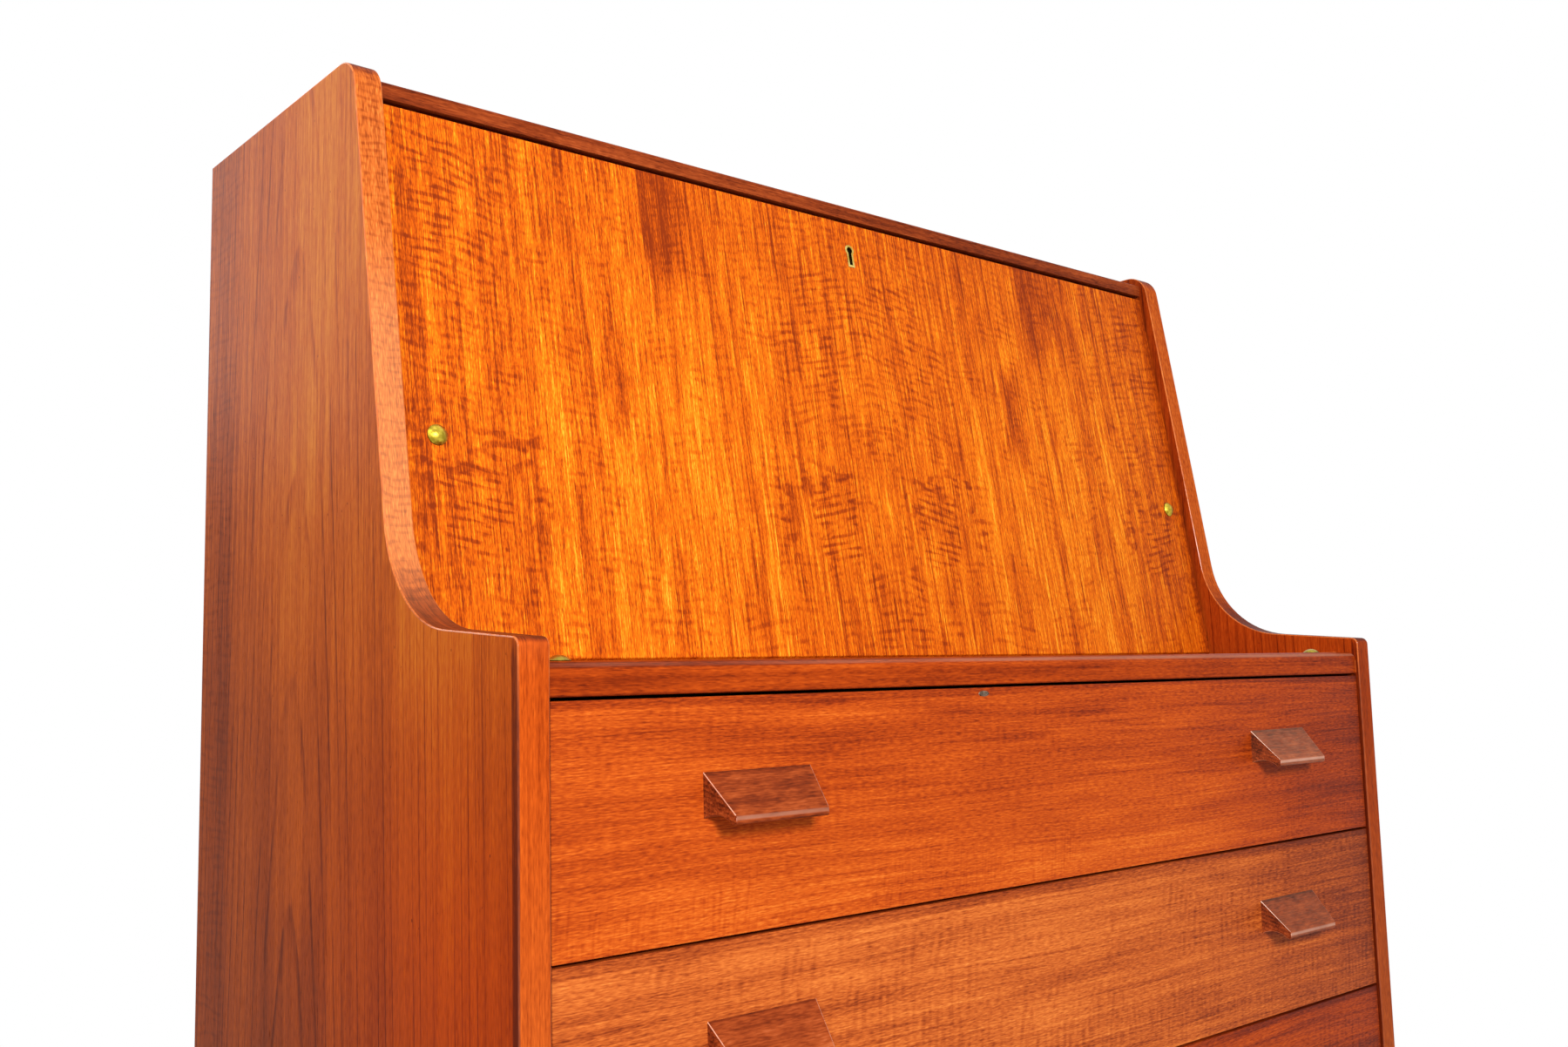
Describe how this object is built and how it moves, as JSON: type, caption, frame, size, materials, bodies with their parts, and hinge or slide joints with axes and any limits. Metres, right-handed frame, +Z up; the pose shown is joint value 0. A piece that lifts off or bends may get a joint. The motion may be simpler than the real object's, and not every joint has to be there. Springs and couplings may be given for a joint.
{
  "type": "secretary desk",
  "caption": "Teak secretary desk: a slanted drop front with a lock over a ledge and inset drawers with wedge pulls, between full-height side panels on round tapered legs.",
  "frame": {"origin": "on the floor, under the middle of the whole object's bounding box, pulls included", "axes": "+X to the right seen from the front, +Y to the back, +Z up; the front faces -Y"},
  "size_m": [0.92, 0.5074, 1.1215],
  "materials": {
    "teak_side": "satin oiled teak, upright grain",
    "teak_fall": "satin lacquered figured teak veneer, upright grain",
    "teak_front": "satin oiled teak, grain across",
    "teak_dark": "satin oiled dark teak",
    "beech": "plain planed beech",
    "plywood": "plain sanded plywood",
    "brass": "polished, slightly aged",
    "steel": "plain zinc-plated steel"
  },
  "bodies": {
    "carcass": {"side_left": "teak_side", "side_right": "teak_side", "top_panel": "teak_dark", "ledge_board": "teak_front", "bottom_panel": "teak_front", "back_panel": "plywood", "writing_floor": "teak_front", "floor_battens": "beech", "pigeonhole_shelf": "teak_front", "pigeonhole_dividers": "teak_front", "runners_left": "beech", "runners_right": "beech", "back_screws": "steel", "runner_screws": "steel", "base_screws": "steel", "base_rail_front": "teak_dark", "base_rail_back": "teak_dark", "base_rail_left": "teak_dark", "base_rail_right": "teak_dark", "leg_front_left": "teak_dark", "leg_front_right": "teak_dark", "leg_back_left": "teak_dark", "leg_back_right": "teak_dark", "ledge_studs": "brass", "pivot_bushes": "brass", "strike_plate": "brass", "strike_screws": "brass"},
    "fall": {"fall_panel": "teak_fall", "fall_studs": "brass", "escutcheon": "brass", "pivot_pins": "brass", "lock_case": "steel", "lock_cover": "steel", "lock_screws": "steel"},
    "bolt": {"lock_bolt": "brass"},
    "drawer_1": {"drawer_1_front": "teak_front", "drawer_1_side_left": "beech", "drawer_1_side_right": "beech", "drawer_1_back": "beech", "drawer_1_bottom": "plywood", "drawer_1_pull_left": "teak_dark", "drawer_1_pull_right": "teak_dark", "drawer_1_pull_screws": "steel"},
    "drawer_2": {"drawer_2_front": "teak_front", "drawer_2_side_left": "beech", "drawer_2_side_right": "beech", "drawer_2_back": "beech", "drawer_2_bottom": "plywood", "drawer_2_pull_left": "teak_dark", "drawer_2_pull_right": "teak_dark", "drawer_2_pull_screws": "steel"},
    "drawer_3": {"drawer_3_front": "teak_front", "drawer_3_side_left": "beech", "drawer_3_side_right": "beech", "drawer_3_back": "beech", "drawer_3_bottom": "plywood", "drawer_3_pull_left": "teak_dark", "drawer_3_pull_right": "teak_dark", "drawer_3_pull_screws": "steel"}
  },
  "joints": [
    {"name": "fall_hinge", "type": "hinge", "parent": "carcass", "child": "fall", "pos_m": [0, -0.06438, 0.7238], "axis": [1, 0, 0], "range_deg": [0, 99.3]},
    {"name": "lock_bolt_slide", "type": "slide", "parent": "fall", "child": "bolt", "axis": [0, 0.1616, 0.9869], "range_m": [0, 0.01]},
    {"name": "drawer_1_slide", "type": "slide", "parent": "carcass", "child": "drawer_1", "axis": [0, -1, 0], "range_m": [0, 0.3]},
    {"name": "drawer_2_slide", "type": "slide", "parent": "carcass", "child": "drawer_2", "axis": [0, -1, 0], "range_m": [0, 0.3]},
    {"name": "drawer_3_slide", "type": "slide", "parent": "carcass", "child": "drawer_3", "axis": [0, -1, 0], "range_m": [0, 0.3]}
  ]
}
